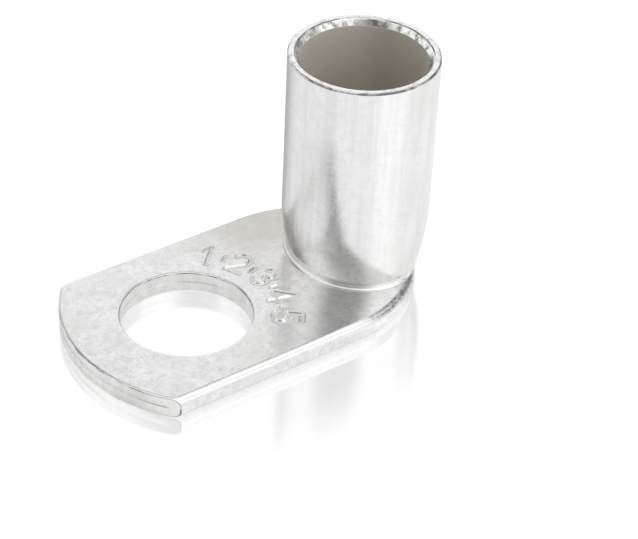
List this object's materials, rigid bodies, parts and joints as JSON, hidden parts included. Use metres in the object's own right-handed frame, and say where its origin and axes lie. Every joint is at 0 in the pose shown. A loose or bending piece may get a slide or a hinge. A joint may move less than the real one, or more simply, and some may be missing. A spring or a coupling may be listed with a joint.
{
  "type": "cable lug",
  "caption": "Right-angled tubular cable lug: a flat palm with a round bolt hole turns at a sharp crease into an upright open barrel for the conductor.",
  "frame": {"origin": "centre of the bolt hole at the palm's underside", "axes": "+X from the bolt hole towards the barrel, along the palm; +Y across the palm; +Z out of the barrel's mouth and along the bolt hole"},
  "size_m": [0.0394, 0.0216, 0.0251],
  "materials": {
    "tinned_copper": "tin-plated copper, satin to bright, with fine drawing lines and handling marks"
  },
  "bodies": {
    "root": {"cable_lug": "tinned_copper"}
  },
  "joints": []
}
